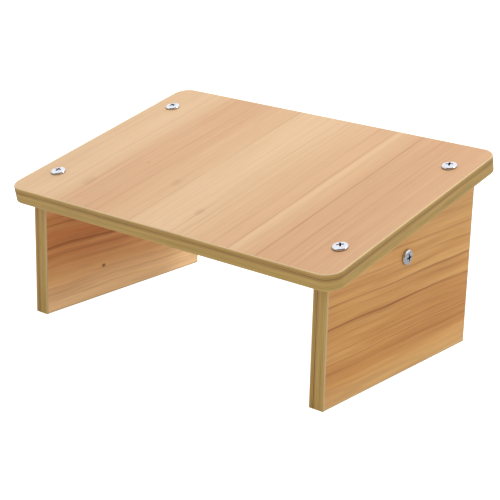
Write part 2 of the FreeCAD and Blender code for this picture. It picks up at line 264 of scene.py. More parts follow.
uneven_sheen, given, out = new_group(
    "uneven_sheen", "ShaderNodeTree",
    [("Position", VECTOR, None), ("Patch Scale", FLOAT, 25), ("Smooth", FLOAT, 0.4),
     ("Rough", FLOAT, 0.5)],
    [("Roughness", FLOAT)])
patches = add(uneven_sheen, "ShaderNodeTexNoise",
              {"Vector": given["Position"], "Scale": given["Patch Scale"], "Detail": 3.0})
uneven_sheen.links.new(
    ease(uneven_sheen, patches.outputs["Fac"], 0.3, 0.7, given["Smooth"], given["Rough"]),
    out.inputs[0])
print("groups", spot_mark.name, uneven_sheen.name)

# %% [markdown]
# ## Printed sheets
# Each sheet is a different piece of the same print, so one function builds them all from a few
# given lists: stops of broad tone across the grain, growth lines as (place, width,
# strength), and spots. Places are in millimetres, because that is how a maker would read them
# off a rule. The pattern is laid out on Object coordinates. A Mapping node of the Texture
# kind takes the sheet's own place and tilt away, so that the grain lies in the sheet's plane.

# %% Function: a printed sheet's material
PALE, SAND, HONEY = (217, 182, 142), (212, 176, 135), (208, 168, 126)
ROSE, TAN, BUFF = (204, 160, 119), (200, 155, 114), (172, 118, 80)


def blend_colours(tree, factor, first, second, mode="MIX"):
    """Two colours mixed. The Mix node keeps its colour sockets at places 6, 7 and 2."""
    return add(tree, "ShaderNodeMix", {0: factor, 6: first, 7: second},
               data_type="RGBA", blend_type=mode).outputs[2]


def new_material(name):
    """An empty node material with its Principled shader joined up."""
    material = bpy.data.materials.new(name)
    material.use_nodes = True
    tree = material.node_tree
    tree.nodes.clear()
    shader = add(tree, "ShaderNodeBsdfPrincipled")
    add(tree, "ShaderNodeOutputMaterial", {"Surface": shader.outputs[0]})
    return material, tree, shader


def join_up(tree, shader, colour, roughness, height, strength, distance=0.0001):
    """A finish joined to its shader: colour, roughness and a faint bump."""
    bump = add(tree, "ShaderNodeBump",
               {"Height": height, "Strength": strength, "Distance": distance})
    for name, value in (("Base Color", colour), ("Roughness", roughness),
                        ("Normal", bump.outputs[0])):
        tree.links.new(value, shader.inputs[name])


def dark_lines(tree, across, along, lines, seed):
    """The strongest of several growth lines, each (place in mm, width in mm, strength)."""
    dark = 0.0
    for mm, width, strength in lines:
        line = place(tree, growth_line, Across=across, Along=along, Place=mm / 1000,
                     Width=width / 1000, Strength=strength, Seed=seed)[0]
        dark = work(tree, "MAXIMUM", dark, line)
    return dark


def tone_ramp(tree, across, stops):
    """Broad tone across the grain from (place in mm, colour) stops."""
    low, high = stops[0][0] / 1000, stops[-1][0] / 1000
    place_on_ramp = add(tree, "ShaderNodeMapRange",
                        {"Value": across, "From Min": low, "From Max": high})
    ramp = add(tree, "ShaderNodeValToRGB", {"Fac": place_on_ramp.outputs[0]})
    ramp.color_ramp.interpolation = "B_SPLINE"
    while len(ramp.color_ramp.elements) < len(stops):
        ramp.color_ramp.elements.new(1.0)
    for element, (mm, colour) in zip(ramp.color_ramp.elements, stops):
        element.position = (mm / 1000 - low) / (high - low)
        element.color = srgb(*colour)
    return ramp.outputs["Color"]


def printed_sheet(name, axes, stops, lines, line_colour, spots=(), spot_colour=(120, 80, 50),
                  place_at=(0, 0, 0), tilt=0.0, sway_mm=1.0, waves=8.0, ripple_mm=0.3,
                  drift_colour=PALE, drift_strength=0.25, fibre_strength=0.09,
                  pore_strength=0.12, seed=0.0):
    """A satin sheet of printed wood. axes names the two directions, across and along."""
    material, tree, shader = new_material(name)
    coords = add(tree, "ShaderNodeTexCoord").outputs["Object"]
    laid = add(tree, "ShaderNodeMapping",
               {"Vector": coords, "Location": place_at, "Rotation": (tilt, 0, 0)},
               vector_type="TEXTURE").outputs[0]
    split = add(tree, "ShaderNodeSeparateXYZ", {0: laid}).outputs
    across, along = split[axes[0]], split[axes[1]]
    swayed = place(tree, sway, Across=across, Along=along, Sway=sway_mm / 1000, Waves=waves,
                   Ripple=ripple_mm / 1000, Seed=seed)[0]
    colour = tone_ramp(tree, swayed, stops)
    drift = work(tree, "MULTIPLY", drift_strength,
                 wander(tree, swayed, along, 130.0, 5.0, seed + 5.0, 3.0))
    colour = blend_colours(tree, work(tree, "MAXIMUM", drift, 0.0), colour, srgb(*drift_colour))
    drift = work(tree, "MULTIPLY", drift, -1.0)
    colour = blend_colours(tree, work(tree, "MAXIMUM", drift, 0.0), colour, srgb(*line_colour))
    dark = dark_lines(tree, swayed, along, lines, seed)
    colour = blend_colours(tree, dark, colour, srgb(*line_colour))
    grain = place(tree, wood_fibre, Across=swayed, Along=along, Seed=seed)
    fibre_value = work(tree, "MULTIPLY_ADD", grain["Fibre"], fibre_strength, 0.5)
    colour = blend_colours(tree, 1.0, colour, add(
        tree, "ShaderNodeCombineColor", dict.fromkeys(("Red", "Green", "Blue"), fibre_value)
    ).outputs[0], "MULTIPLY")
    colour = blend_colours(tree, 1.0, colour, (2.0, 2.0, 2.0, 1.0), "MULTIPLY")
    colour = blend_colours(tree, work(tree, "MULTIPLY", grain["Pores"], pore_strength), colour,
                           srgb(*spot_colour))
    for at_across, at_along, size, strength in spots:
        mark = place(tree, spot_mark, Across=across, Along=along, Place_Across=at_across / 1000,
                     Place_Along=at_along / 1000, Size=size / 1000)[0]
        colour = blend_colours(tree, work(tree, "MULTIPLY", mark, strength), colour,
                               srgb(*spot_colour))
    sheen = place(tree, uneven_sheen, Position=coords, Patch_Scale=30.0, Smooth=0.46, Rough=0.52)
    shader.inputs["Specular IOR Level"].default_value = 0.3
    join_up(tree, shader, colour, sheen[0], grain["Height"], 0.12)
    return material


def finish(node, material):
    """Gives a carried-over CAD node its material."""
    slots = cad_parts[node].data.materials
    slots.clear()
    slots.append(material)


print("printed sheets can be made")

# %% [markdown]
# The foot board's face is the piece everyone sees: pale, straight grain that runs down the
# slope, with a rosy band left of the middle and the strongest line near the right.

# %% The foot board's face
top_face = printed_sheet(
    "printed_face", ("X", "Y"),
    stops=[(-200, SAND), (-172, SAND), (-158, PALE), (-140, SAND), (-120, ROSE), (-75, ROSE),
           (-62, HONEY), (-37, HONEY), (-33, SAND), (-5, PALE), (22, SAND), (48, HONEY),
           (84, ROSE), (89, PALE), (95, HONEY), (118, TAN), (170, TAN), (200, ROSE)],
    lines=[(-150, 3, 0.2), (-126, 2.5, 0.3), (-117, 1.6, 0.45), (-112, 1.2, 0.4),
           (-93, 2, 0.45), (-86, 1.2, 0.3), (-78, 1.5, 0.45), (-73, 1.2, 0.4), (-35, -2.5, 0.35),
           (-10, 1.2, 0.2), (18, 1.5, 0.35), (28, 1.2, 0.35), (35, 1.2, 0.3), (67, 2, 0.3),
           (85, 2.5, 0.4), (117, 2, 0.85), (140, 1.6, 0.5), (153, 1.4, 0.5), (160, 1.2, 0.4)],
    line_colour=BUFF,
    spots=[(-103, 103, 1.2, 0.6), (-45, 80, 7, 0.16), (17, 43, 6, 0.18), (-130, 45, 9, 0.14)],
    place_at=seat, tilt=SLOPE, sway_mm=1.5, seed=1.0)
finish("top_upper_laminate", top_face)
print("finished", top_face.name)

# %% [markdown]
# The side panels come from a deeper, more orange part of the print, with wavy lines that run
# from front to back. The four big faces differ, as cut pieces do, so each has its own lists.
# The left panel's inner face also has painted shade in its tone: pale near the floor and dark
# higher up, where the foot board hangs over it.

# %% The side panels' faces
AMBER, CARAMEL, GINGER = (218, 161, 92), (208, 148, 79), (203, 139, 71)
STRAW, RUST, GLEAM = (218, 174, 112), (158, 92, 42), (244, 198, 126)
# PEACH, COPPER and SIENNA are print tones with painted shade in them, for the left panel's inner
# face.
PEACH, COPPER, SIENNA = (248, 208, 154), (222, 164, 102), (204, 132, 74)
panel_faces = {
    "right_panel_outer_laminate": dict(
        stops=[(0, STRAW), (17, AMBER), (24, CARAMEL), (40, GINGER), (60, CARAMEL),
               (78, CARAMEL), (98, AMBER), (130, AMBER), (175, STRAW)],
        lines=[(75, 2.6, 1.0), (95, 3, 0.7), (104, 1.5, 0.3), (88, 1.2, 0.3), (66, 1, 0.25),
               (52, 2.2, 0.5), (45, 1.5, 0.4), (42, 1.2, 0.45), (33, 2.5, 0.5), (27, 1.2, 0.3),
               (112, 2, 0.35), (125, 2, 0.35), (140, 2, 0.3)], seed=3.0),
    # Pale at the floor and darkest from 66 to 92 mm up: the print's tone with painted shade under
    # the foot board.
    "left_panel_inner_laminate": dict(
        stops=[(0, PEACH), (16, PEACH), (36, COPPER), (66, SIENNA), (92, SIENNA), (106, COPPER),
               (175, PEACH)],
        lines=[(68, 4, 0.8), (90, 3, 0.6), (96, 1.5, 0.4), (58, 1.5, 0.3), (48, 1.2, 0.25),
               (74, 1.2, 0.4), (20, 1.2, 0.3), (12, 1.2, 0.3), (120, 2, 0.4)],
        spots=[(33, -31.6, 2.6, 0.85)], seed=7.0),
    "left_panel_outer_laminate": dict(
        stops=[(0, AMBER), (30, CARAMEL), (52, STRAW), (84, AMBER), (110, CARAMEL),
               (140, GINGER), (175, AMBER)],
        lines=[(24, 2.4, 0.6), (38, 1.4, 0.4), (46, -2, 0.3), (70, 1.2, 0.3), (92, 2.6, 0.8),
               (100, 1.4, 0.5), (118, 2.2, 0.6), (133, 1.4, 0.4), (150, 2, 0.5)], seed=11.0),
    "right_panel_inner_laminate": dict(
        stops=[(0, CARAMEL), (28, AMBER), (60, STRAW), (90, AMBER), (120, CARAMEL),
               (175, AMBER)],
        lines=[(16, 2, 0.5), (41, 2.4, 0.6), (55, 1.3, 0.3), (77, 1.6, 0.4), (99, 2.8, 0.8),
               (108, 1.4, 0.4), (127, 2, 0.5), (146, 1.5, 0.4)], seed=17.0),
}
for node, facts in panel_faces.items():
    material = printed_sheet(node.replace("laminate", "print"), ("Z", "Y"), line_colour=RUST,
                             spot_colour=(110, 66, 34), sway_mm=6.0, waves=5.0, ripple_mm=0.6,
                             drift_colour=GLEAM, drift_strength=0.7,
                             fibre_strength=0.14, **facts)
    finish(node, material)
print("finished", len(panel_faces), "panel faces")

# %% [markdown]
# The underside and the rail are never on show, but a hand finds them. They have a plainer
# piece of the same print: the underside runs down the slope, the rail from side to side.

# %% The underside and the rail
underside = printed_sheet(
    "printed_underside", ("X", "Y"),
    stops=[(-200, HONEY), (-140, SAND), (-80, ROSE), (-20, HONEY), (60, SAND), (130, ROSE),
           (200, HONEY)],
    lines=[(-170, 2, 0.4), (-128, 1.5, 0.3), (-96, 2.4, 0.5), (-60, 1.5, 0.4), (-12, 2, 0.3),
           (34, 1.4, 0.3), (88, 2.4, 0.6), (104, 1.4, 0.4), (151, 1.8, 0.4), (178, 1.2, 0.3)],
    line_colour=BUFF, place_at=seat, tilt=SLOPE, sway_mm=1.5, seed=23.0)
finish("top_lower_laminate", underside)
rail_print = printed_sheet(
    "printed_rail", ("Z", "X"),
    stops=[(-70, AMBER), (-52, CARAMEL), (-30, AMBER), (-12, GINGER), (0, AMBER)],
    lines=[(-61, 1.6, 0.4), (-47, 2.2, 0.7), (-36, 1.2, 0.3), (-22, 2, 0.6), (-9, 1.4, 0.4)],
    line_colour=RUST, place_at=seat, tilt=SLOPE, sway_mm=3.0, waves=5.0, seed=29.0)
for node in ("rail_front_laminate", "rail_back_laminate"):
    finish(node, rail_print)
print("finished the underside and the rail")

# %% [markdown]
# The core is particleboard: flakes of wood pressed with glue, paler and finer towards the
# faces. Cells of a Voronoi texture, squashed flat, make the flakes, each with its own tone.

# %% The particleboard core
particleboard, tree, shader = new_material("particleboard")
coords = add(tree, "ShaderNodeTexCoord").outputs["Object"]
squashed = add(tree, "ShaderNodeMapping", {"Vector": coords, "Scale": (1, 1, 2.2)}).outputs[0]
flakes = add(tree, "ShaderNodeTexVoronoi", {"Vector": squashed, "Scale": 420.0})
flake_tone = add(tree, "ShaderNodeSeparateColor", {0: flakes.outputs["Color"]}).outputs[0]
flake_ramp = add(tree, "ShaderNodeValToRGB", {"Fac": flake_tone})
flake_ramp.color_ramp.elements[0].color = srgb(160, 128, 88)
flake_ramp.color_ramp.elements[1].color = srgb(222, 196, 156)
gaps = ease(tree, flakes.outputs["Distance"], 0.3, 0.75, 0.0, 0.5)
flake_colour = blend_colours(tree, gaps, flake_ramp.outputs[0], srgb(112, 84, 54))
sawn_sheen = place(tree, uneven_sheen, Position=coords, Patch_Scale=90.0, Smooth=0.7, Rough=0.9)
join_up(tree, shader, flake_colour, sawn_sheen[0], flakes.outputs["Distance"], 0.4, 0.0004)
for node in ("top_core", "left_panel_core", "right_panel_core", "rail_core"):
    finish(node, particleboard)
print("finished the cores")

# %% [markdown]
# ## Banding strips
# The strip is a ribbon of plastic with its own khaki print: dark lines side by side, the
# strongest a third of the way in, and rounded outer edges that are paler. That pale rim is partly
# the plastic's own lighter body where the corner is rounded off, and partly a painted highlight.
# The print follows the strip round the corners, so the material can't use the object's
# coordinates. The strip's shape below stores two numbers on its points instead, how far along
# and how far across, and the material reads those.

# %% The banding strip's material
banding, tree, shader = new_material("banding_print")
run = add(tree, "ShaderNodeAttribute", attribute_name="along").outputs["Fac"]
width_at = add(tree, "ShaderNodeAttribute", attribute_name="across").outputs["Fac"]
strip_across = place(tree, sway, Across=width_at, Along=run, Sway=0.0006, Waves=9.0,
                     Ripple=0.00015, Seed=2.0)[0]
KHAKI, OLIVE, MOSS, UMBER = (196, 156, 80), (202, 167, 94), (189, 154, 76), (178, 138, 70)
LINE_COLOUR, FIBRE_COLOUR, RIM_PALE_AND_HIGHLIGHT_COLOUR = (86, 54, 24), (120, 88, 44), (226, 202, 172)
RIM_START, RIM_END = 0.0002, 0.0007
strip_colour = tone_ramp(tree, strip_across, [
    (0, OLIVE), (1.2, KHAKI), (2.4, KHAKI), (4.6, UMBER), (6.5, KHAKI), (9, OLIVE),
    (12, MOSS), (14.4, OLIVE), (16, OLIVE)])
dark = dark_lines(tree, strip_across, run, [
    (2.0, 0.4, 0.4), (3.2, 0.7, 0.8), (4.9, 0.9, 1.0), (6.4, 0.6, 0.8), (8.0, 0.5, 0.35),
    (9.6, 0.5, 0.5), (11.4, 0.6, 0.5), (13.2, 0.5, 0.5), (14.6, 0.4, 0.3)], 6.0)
strip_colour = blend_colours(tree, dark, strip_colour, srgb(*LINE_COLOUR))
strip_fibre = place(tree, wood_fibre, Across=strip_across, Along=run, Seed=8.0)
strip_colour = blend_colours(
    tree, work(tree, "MULTIPLY_ADD", strip_fibre["Fibre"], 0.8, 0.14), strip_colour,
    srgb(*FIBRE_COLOUR))
# Both rounded edges are mixed towards a pale colour: partly the plastic's lighter body, partly a
# painted highlight.
rim_pale_and_highlight = work(tree, "ADD", ease(tree, width_at, RIM_START, RIM_END, 1.0, 0.0),
           ease(tree, width_at, BOARD_THICK - RIM_END, BOARD_THICK - RIM_START))
strip_colour = blend_colours(tree, work(tree, "MULTIPLY", rim_pale_and_highlight, 0.4), strip_colour,
                             srgb(*RIM_PALE_AND_HIGHLIGHT_COLOUR))
strip_coords = add(tree, "ShaderNodeTexCoord").outputs["Object"]
strip_sheen = place(tree, uneven_sheen, Position=strip_coords, Patch_Scale=60.0, Smooth=0.36,
                    Rough=0.48)
join_up(tree, shader, strip_colour, strip_sheen[0], strip_fibre["Height"], 0.15)
print("finished", banding.name)

# %% [markdown]
# The strip itself is one shape swept along a line, which is exactly what Geometry Nodes does
# well. The tree takes the line of the edge, rounds its corners, and sweeps a small section
# along it: flat against the board, with rounded outer corners. The radius of the section's
# corners is a field, so the same Fillet node leaves the glued side sharp. The path is open and
# starts and ends at the seam.

# %% Tree: a banding strip along an edge
strip_tree, given, out = new_group(
    "banding_strip", "GeometryNodeTree",
    [("Geometry", "NodeSocketGeometry", None), ("Strip Width", FLOAT, BOARD_THICK),
     ("Strip Thickness", FLOAT, STRIP_THICK), ("Corner Radius", FLOAT, CORNER_RADIUS),
     ("Arris Radius", FLOAT, ARRIS), ("Cut From Roll", FLOAT, 0.0),
     ("Finish", "NodeSocketMaterial", None)],
    [("Geometry", "NodeSocketGeometry")])
CORNER_STEPS, ARRIS_STEPS = 14, 5
gn, maths = tools(strip_tree)
edge_line = gn("MeshToCurve", {"Mesh": given["Geometry"]})[0]
edge_line = gn("FilletCurve", {"Curve": edge_line, "Count": CORNER_STEPS,
                               "Radius": given["Corner Radius"],
                               "Limit Radius": True}, mode="POLY")[0]
edge_line = gn("SetCurveNormal", {"Curve": edge_line}, mode="Z_UP")[0]
run_length = maths("ADD", gn("SplineParameter")["Length"], given["Cut From Roll"])
edge_line = gn("StoreNamedAttribute",
               {"Geometry": edge_line, "Name": "along", "Value": run_length},
               data_type="FLOAT", domain="POINT")[0]
section = gn("CurvePrimitiveQuadrilateral",
             {"Width": given["Strip Thickness"], "Height": given["Strip Width"]})[0]
spot_on_section = gn("ShaderNodeSeparateXYZ", {0: gn("InputPosition")[0]})
outer_side = maths("GREATER_THAN", spot_on_section["X"], 0.0)
section = gn("FilletCurve",
             {"Curve": section, "Count": ARRIS_STEPS,
              "Radius": maths("MULTIPLY", outer_side, given["Arris Radius"]),
              "Limit Radius": True}, mode="POLY")[0]
middle = gn("ShaderNodeCombineXYZ", {
    "X": maths("MULTIPLY", given["Strip Thickness"], -0.5),
    "Y": maths("MULTIPLY", given["Strip Width"], -0.5)})[0]
section = gn("Transform", {"Geometry": section, "Translation": middle})[0]
section = gn("StoreNamedAttribute",
             {"Geometry": section, "Name": "across",
              "Value": maths("MULTIPLY", spot_on_section["Y"], -1.0)},
             data_type="FLOAT", domain="POINT")[0]
strip = gn("CurveToMesh", {"Curve": edge_line, "Profile Curve": section, "Fill Caps": True})[0]
strip = gn("RealizeInstances", {"Geometry": strip})[0]
strip = gn("SetMaterial", {"Geometry": strip, "Material": given["Finish"]})[0]
strip_tree.links.new(strip, out.inputs[0])
print("tree", strip_tree.name, len(strip_tree.nodes), "nodes")

# %% [markdown]
# A modifier's inputs are set by their identifiers before the object is looked at for the first
# time. The result is then copied out as a plain mesh, so nothing live is left on the piece. A
# Weighted Normal modifier goes along: it makes the flat sides shade flat and the small
# roundings shade round.

# %% Functions: run a tree, and put a mesh in its place
def in_scene(name, data):
    """A new object, linked into the scene."""
    made = bpy.data.objects.new(name, data)
    bpy.context.scene.collection.objects.link(made)
    return made


def copied_out(holder):
    """The plain mesh that an object's modifiers make. The object and its own mesh go."""
    mesh = holder.data
    made = bpy.data.meshes.new_from_object(
        holder.evaluated_get(bpy.context.evaluated_depsgraph_get()))
    bpy.data.objects.remove(holder)
    bpy.data.meshes.remove(mesh)
    return made


def run_tree(name, mesh, tree, **inputs):
    """The plain mesh that a Geometry Nodes tree makes from a mesh."""
    holder = in_scene(name, mesh)
    modifier = holder.modifiers.new("build", "NODES")
    modifier.node_group = tree
    for item in tree.interface.items_tree:
        key = item.name.replace(" ", "_")
        if item.in_out == "INPUT" and key in inputs:
            modifier[item.identifier] = inputs[key]
    made = copied_out(holder)
    made.name = name
    return made


def soft_shading(mesh, sharp_degrees=50):
    """Smooth shading that keeps big faces flat."""
    mesh.shade_smooth()
    mesh.set_sharp_from_angle(angle=math.radians(sharp_degrees))
    holder = in_scene("shading", mesh)
    holder.modifiers.new("weighted", "WEIGHTED_NORMAL").keep_sharp = True
    return copied_out(holder)


def new_piece(name, mesh, slot, *nodes):
    """A finished piece in the scene, riding on the one body and standing for CAD nodes."""
    mesh.name = name
    piece = in_scene(name, mesh)
    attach(piece, "root")
    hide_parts(*nodes)
    triangles = sum(len(p.vertices) - 2 for p in mesh.polygons)
    print(name, "triangles", triangles, "stands for", ", ".join(nodes))


def banding_piece(name, path, placement, node, corner=0.0, roll=0.0, cut=None):
    """A strip along a path drawn flat, carried into place, and cut off along a plane."""
    line = bpy.data.meshes.new(name)
    line.from_pydata(path, [(i, i + 1) for i in range(len(path) - 1)], [])
    mesh = run_tree(name, line, strip_tree, Corner_Radius=corner, Cut_From_Roll=roll,
                    Finish=banding)
    mesh.transform(placement)
    if cut:
        bm = bmesh.new()
        bm.from_mesh(mesh)
        sawn = bmesh.ops.bisect_plane(bm, geom=bm.verts[:] + bm.edges[:] + bm.faces[:],
                                      plane_co=cut[0], plane_no=cut[1], clear_outer=True)
        edges = [e for e in sawn["geom_cut"] if isinstance(e, bmesh.types.BMEdge)]
        bmesh.ops.holes_fill(bm, edges=edges)
        bmesh.ops.recalc_face_normals(bm, faces=bm.faces[:])
        bm.to_mesh(mesh)
        bm.free()
    new_piece(name, soft_shading(mesh), "edge_band", node)


def axes_matrix(origin, along, across):
    """A frame whose X runs along a strip and whose Z runs across it, outwards being -Y."""
    along, across = Vector(along), Vector(across)
    inward = across.cross(along)
    turned = Matrix((along, inward, across)).transposed().to_4x4()
    return Matrix.Translation(Vector(origin)) @ turned


print("banding strips can be made")

# %% The strip round the foot board
half, depth = TOP_WIDTH / 2, TOP_DEPTH
loop = [(-SEAM / 2, depth, 0), (-half, depth, 0), (-half, 0, 0), (half, 0, 0),
        (half, depth, 0), (SEAM / 2, depth, 0)]
# Turned over about its own Y, so that "across" is counted down from the upper face.
face_down = BOARD @ Matrix.Translation((0, 0, BOARD_THICK)) @ Matrix.Rotation(math.pi, 4, "Y")
banding_piece("top_banding", loop, face_down, "top_edge_band", corner=CORNER_RADIUS)

# %% [markdown]
# The panels' strips are straight. The upright ones are cut off along the foot board's
# underside, so they are made a little too long first. Each starts at another place on the
# roll, so no two show the same print.

# %% The strips on the side panels and the rail
ROLL_START = {"left": 0.3, "right": 1.1}
SPARE = 0.004
underside_plane = (BOARD.translation, BOARD.to_3x3() @ Vector((0, 0, 1)))
for side, start in ROLL_START.items():
    low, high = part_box(f"{side}_panel_front_band")
    rear_low, rear_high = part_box(f"{side}_panel_back_band")
    foot_low, foot_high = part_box(f"{side}_panel_bottom_band")
    banding_piece(f"{side}_front_banding", [(0, 0, 0), (high.z + SPARE, 0, 0)],
                  axes_matrix((low.x, low.y, high.z + SPARE), (0, 0, -1), (1, 0, 0)),
                  f"{side}_panel_front_band", roll=start, cut=underside_plane)
    banding_piece(f"{side}_back_banding", [(0, 0, 0), (rear_high.z + SPARE, 0, 0)],
                  axes_matrix((rear_low.x, rear_high.y, 0), (0, 0, 1), (1, 0, 0)),
                  f"{side}_panel_back_band", roll=start + 0.2, cut=underside_plane)
    banding_piece(f"{side}_foot_banding", [(0, 0, 0), (foot_high.y - foot_low.y, 0, 0)],
                  axes_matrix((foot_low.x, foot_low.y, 0), (0, 1, 0), (1, 0, 0)),
                  f"{side}_panel_bottom_band", roll=start + 0.45)

RAIL_HEIGHT = 0.066
rail_low, rail_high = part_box("rail_bottom_band")
# A tilted sheet and its box share their middle; the rail's face is half a sheet before it.
sheet_middle = BOARD.inverted() @ (sum(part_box("rail_front_laminate"), Vector()) / 2)
rail_front = sheet_middle.y - SHEET_THICK / 2
rail_frame = BOARD @ axes_matrix((rail_high.x, rail_front, -RAIL_HEIGHT), (-1, 0, 0), (0, 1, 0))
banding_piece("rail_banding", [(0, 0, 0), (rail_high.x - rail_low.x, 0, 0)], rail_frame,
              "rail_bottom_band", roll=2.2)
print("strips done")

# %% [markdown]
# ## Screws
# Six chrome-plated screws with wide, nearly flat heads and a cross recess. One pattern is
# turned on a lathe, given its thread and its recess, and then repeated. The blank is a half
# outline spun round the axis. The head has a straight side, a rounded shoulder and a crown
# that is an arc of a big circle. Its foot is rounded a little too, because a plated edge is
# never sharp.

# %% The turned blank
HEAD_RADIUS, HEAD_HEIGHT, RIM, SHOULDER = 0.00725, 0.0032, 0.0019, 0.001
FOOT, FOOT_MIDDLE = 0.0005, 0.00015
SHANK_RADIUS, THREAD_RADIUS, SCREW_LENGTH, TIP = 0.0021, 0.003, 0.050, 0.004
PITCH, RIDGE, PLAIN_SHANK = 0.003, 0.0016, 0.016
SPIN_STEPS, SHOULDER_STEPS, CROWN_STEPS = 72, 8, 12
WELD = 0.000005
rise = HEAD_HEIGHT - RIM
crown_radius = (HEAD_RADIUS ** 2 + rise ** 2) / (2 * rise)
crown_base = HEAD_HEIGHT - crown_radius


def crown_height(radius):
    """Height of the crown at a distance from the screw's axis."""
    return crown_base + math.sqrt(crown_radius ** 2 - radius ** 2)


# The shoulder is a small arc that touches the straight side and the crown's bigger arc.
shoulder_x = HEAD_RADIUS - SHOULDER
shoulder_z = crown_base + math.sqrt((crown_radius - SHOULDER) ** 2 - shoulder_x ** 2)
lean_end = math.atan2(shoulder_z - crown_base, shoulder_x)
outline = [(0, -SCREW_LENGTH), (SHANK_RADIUS * 0.55, -SCREW_LENGTH + TIP * 0.5),
           (SHANK_RADIUS, -SCREW_LENGTH + TIP), (SHANK_RADIUS, 0),
           (HEAD_RADIUS - FOOT, 0), (HEAD_RADIUS - FOOT_MIDDLE, FOOT_MIDDLE),
           (HEAD_RADIUS, FOOT)]
for step in range(SHOULDER_STEPS + 1):
    angle = lean_end * step / SHOULDER_STEPS
    outline.append((shoulder_x + SHOULDER * math.cos(angle),
                    shoulder_z + SHOULDER * math.sin(angle)))
touch = outline[-1][0]
for step in range(1, CROWN_STEPS):
    radius = touch * (1 - step / CROWN_STEPS)
    outline.append((radius, crown_height(radius)))
outline.append((0, HEAD_HEIGHT))
bm = bmesh.new()
ring = [bm.verts.new((r, 0, z)) for r, z in outline]
edges = [bm.edges.new(pair) for pair in zip(ring, ring[1:])]
bmesh.ops.spin(bm, geom=ring + edges, cent=(0, 0, 0), axis=(0, 0, 1), angle=math.tau,
               steps=SPIN_STEPS, use_duplicate=False)
bmesh.ops.remove_doubles(bm, verts=bm.verts[:], dist=WELD)
bmesh.ops.recalc_face_normals(bm, faces=bm.faces[:])
blank = bpy.data.meshes.new("screw_blank")
bm.to_mesh(blank)
print("blank:", len(bm.verts), "points, closed", all(e.is_manifold for e in bm.edges))
bm.free()

# %% [markdown]
# The recess is cut with a tapered cross, drawn as rings of twelve corners from its floor up to
# above the crown. Each pair below is half a length and half a width of the cross.

# %% The cross-shaped cutter
RECESS_DEPTH = 0.0026
MOUTH, FLOOR_CROSS = (0.0037, 0.00085), (0.0012, 0.0006)


def cross_ring(bm, reach, width, z):
    """Twelve corners of a cross lying flat."""
    quarter = [(reach, width), (width, width), (width, reach)]
    spots = []
    for _ in range(4):
        spots += quarter
        quarter = [(-y, x) for x, y in quarter]
    return [bm.verts.new((x, y, z)) for x, y in spots]


def at_level(share):
    """The cross part of the way from the floor (0) to the mouth (1)."""
    return [f + (m - f) * share for f, m in zip(FLOOR_CROSS, MOUTH)]


bm = bmesh.new()
rings = [cross_ring(bm, *at_level(share), HEAD_HEIGHT - RECESS_DEPTH * (1 - share))
         for share in (0.0, 1.0, 1.25)]
for lower, upper in zip(rings, rings[1:]):
    for i in range(12):
        j = (i + 1) % 12
        bm.faces.new((lower[i], lower[j], upper[j], upper[i]))
bm.faces.new(list(reversed(rings[0])))
bm.faces.new(rings[-1])
bmesh.ops.recalc_face_normals(bm, faces=bm.faces[:])
bmesh.ops.triangulate(bm, faces=bm.faces[:])
cutter_mesh = bpy.data.meshes.new("recess_cutter")
bm.to_mesh(cutter_mesh)
bm.free()
cutter = in_scene("recess_cutter", cutter_mesh)
print("cutter faces", len(cutter_mesh.polygons))

# %% [markdown]
# The thread is a three-sided section swept along a spiral. A Geometry Nodes tree makes it,
# welds it to the blank and cuts the recess, so the whole pattern comes out as one closed skin.
# It then marks the faces that get painted shade: the recess, and a painted shadow under the
# rim of the head.

# %% Tree: thread, weld and recess
pattern_tree, given, out = new_group(
    "screw_pattern", "GeometryNodeTree",
    [("Geometry", "NodeSocketGeometry", None), ("Cutter", "NodeSocketObject", None),
     ("Shank Radius", FLOAT, SHANK_RADIUS), ("Thread Radius", FLOAT, THREAD_RADIUS),
     ("Ridge Width", FLOAT, RIDGE), ("Pitch", FLOAT, PITCH), ("Thread Start", FLOAT, 0.0),
     ("Thread Length", FLOAT, 0.03)],
    [("Geometry", "NodeSocketGeometry")])
ROOT_SINK, STEPS_PER_TURN = 0.0002, 24
pn, maths = tools(pattern_tree)
# A three-point circle has its tip at 1 and its base at -0.5, so 1.5 radii from tip to base.
ridge_height = maths("SUBTRACT", given["Thread Radius"],
                     maths("SUBTRACT", given["Shank Radius"], ROOT_SINK))
tip_reach = maths("DIVIDE", ridge_height, 1.5)
half_base = maths("DIVIDE", given["Ridge Width"], math.sqrt(3))
ridge = pn("CurvePrimitiveCircle", {"Resolution": 3, "Radius": 1.0})[0]
ridge = pn("Transform", {"Geometry": ridge, "Rotation": (0, 0, math.pi / 2)})[0]
ridge = pn("Transform", {
    "Geometry": ridge,
    "Scale": pn("ShaderNodeCombineXYZ", {"X": half_base, "Y": tip_reach, "Z": 1.0})[0]})[0]
spiral_radius = maths("SUBTRACT", given["Thread Radius"], tip_reach)
spiral = pn("CurveSpiral", {
    "Resolution": STEPS_PER_TURN,
    "Rotations": maths("DIVIDE", given["Thread Length"], given["Pitch"]),
    "Start Radius": spiral_radius, "End Radius": spiral_radius,
    "Height": given["Thread Length"], "Reverse": True})[0]
spiral = pn("SetCurveNormal", {"Curve": spiral}, mode="Z_UP")[0]
thread = pn("CurveToMesh", {"Curve": spiral, "Profile Curve": ridge, "Fill Caps": True})[0]
thread = pn("Transform", {
    "Geometry": thread,
    "Translation": pn("ShaderNodeCombineXYZ", {"Z": given["Thread Start"]})[0]})[0]
cross = pn("ObjectInfo", {"Object": given["Cutter"]})["Geometry"]
welded = add(pattern_tree, "GeometryNodeMeshBoolean", operation="UNION", solver="MANIFOLD")
for shell in (given["Geometry"], thread):
    pattern_tree.links.new(shell, welded.inputs["Mesh 2"])
cut_head = add(pattern_tree, "GeometryNodeMeshBoolean", {"Mesh 1": welded.outputs[0]},
               operation="DIFFERENCE", solver="MANIFOLD")
pattern_tree.links.new(cross, cut_head.inputs["Mesh 2"])
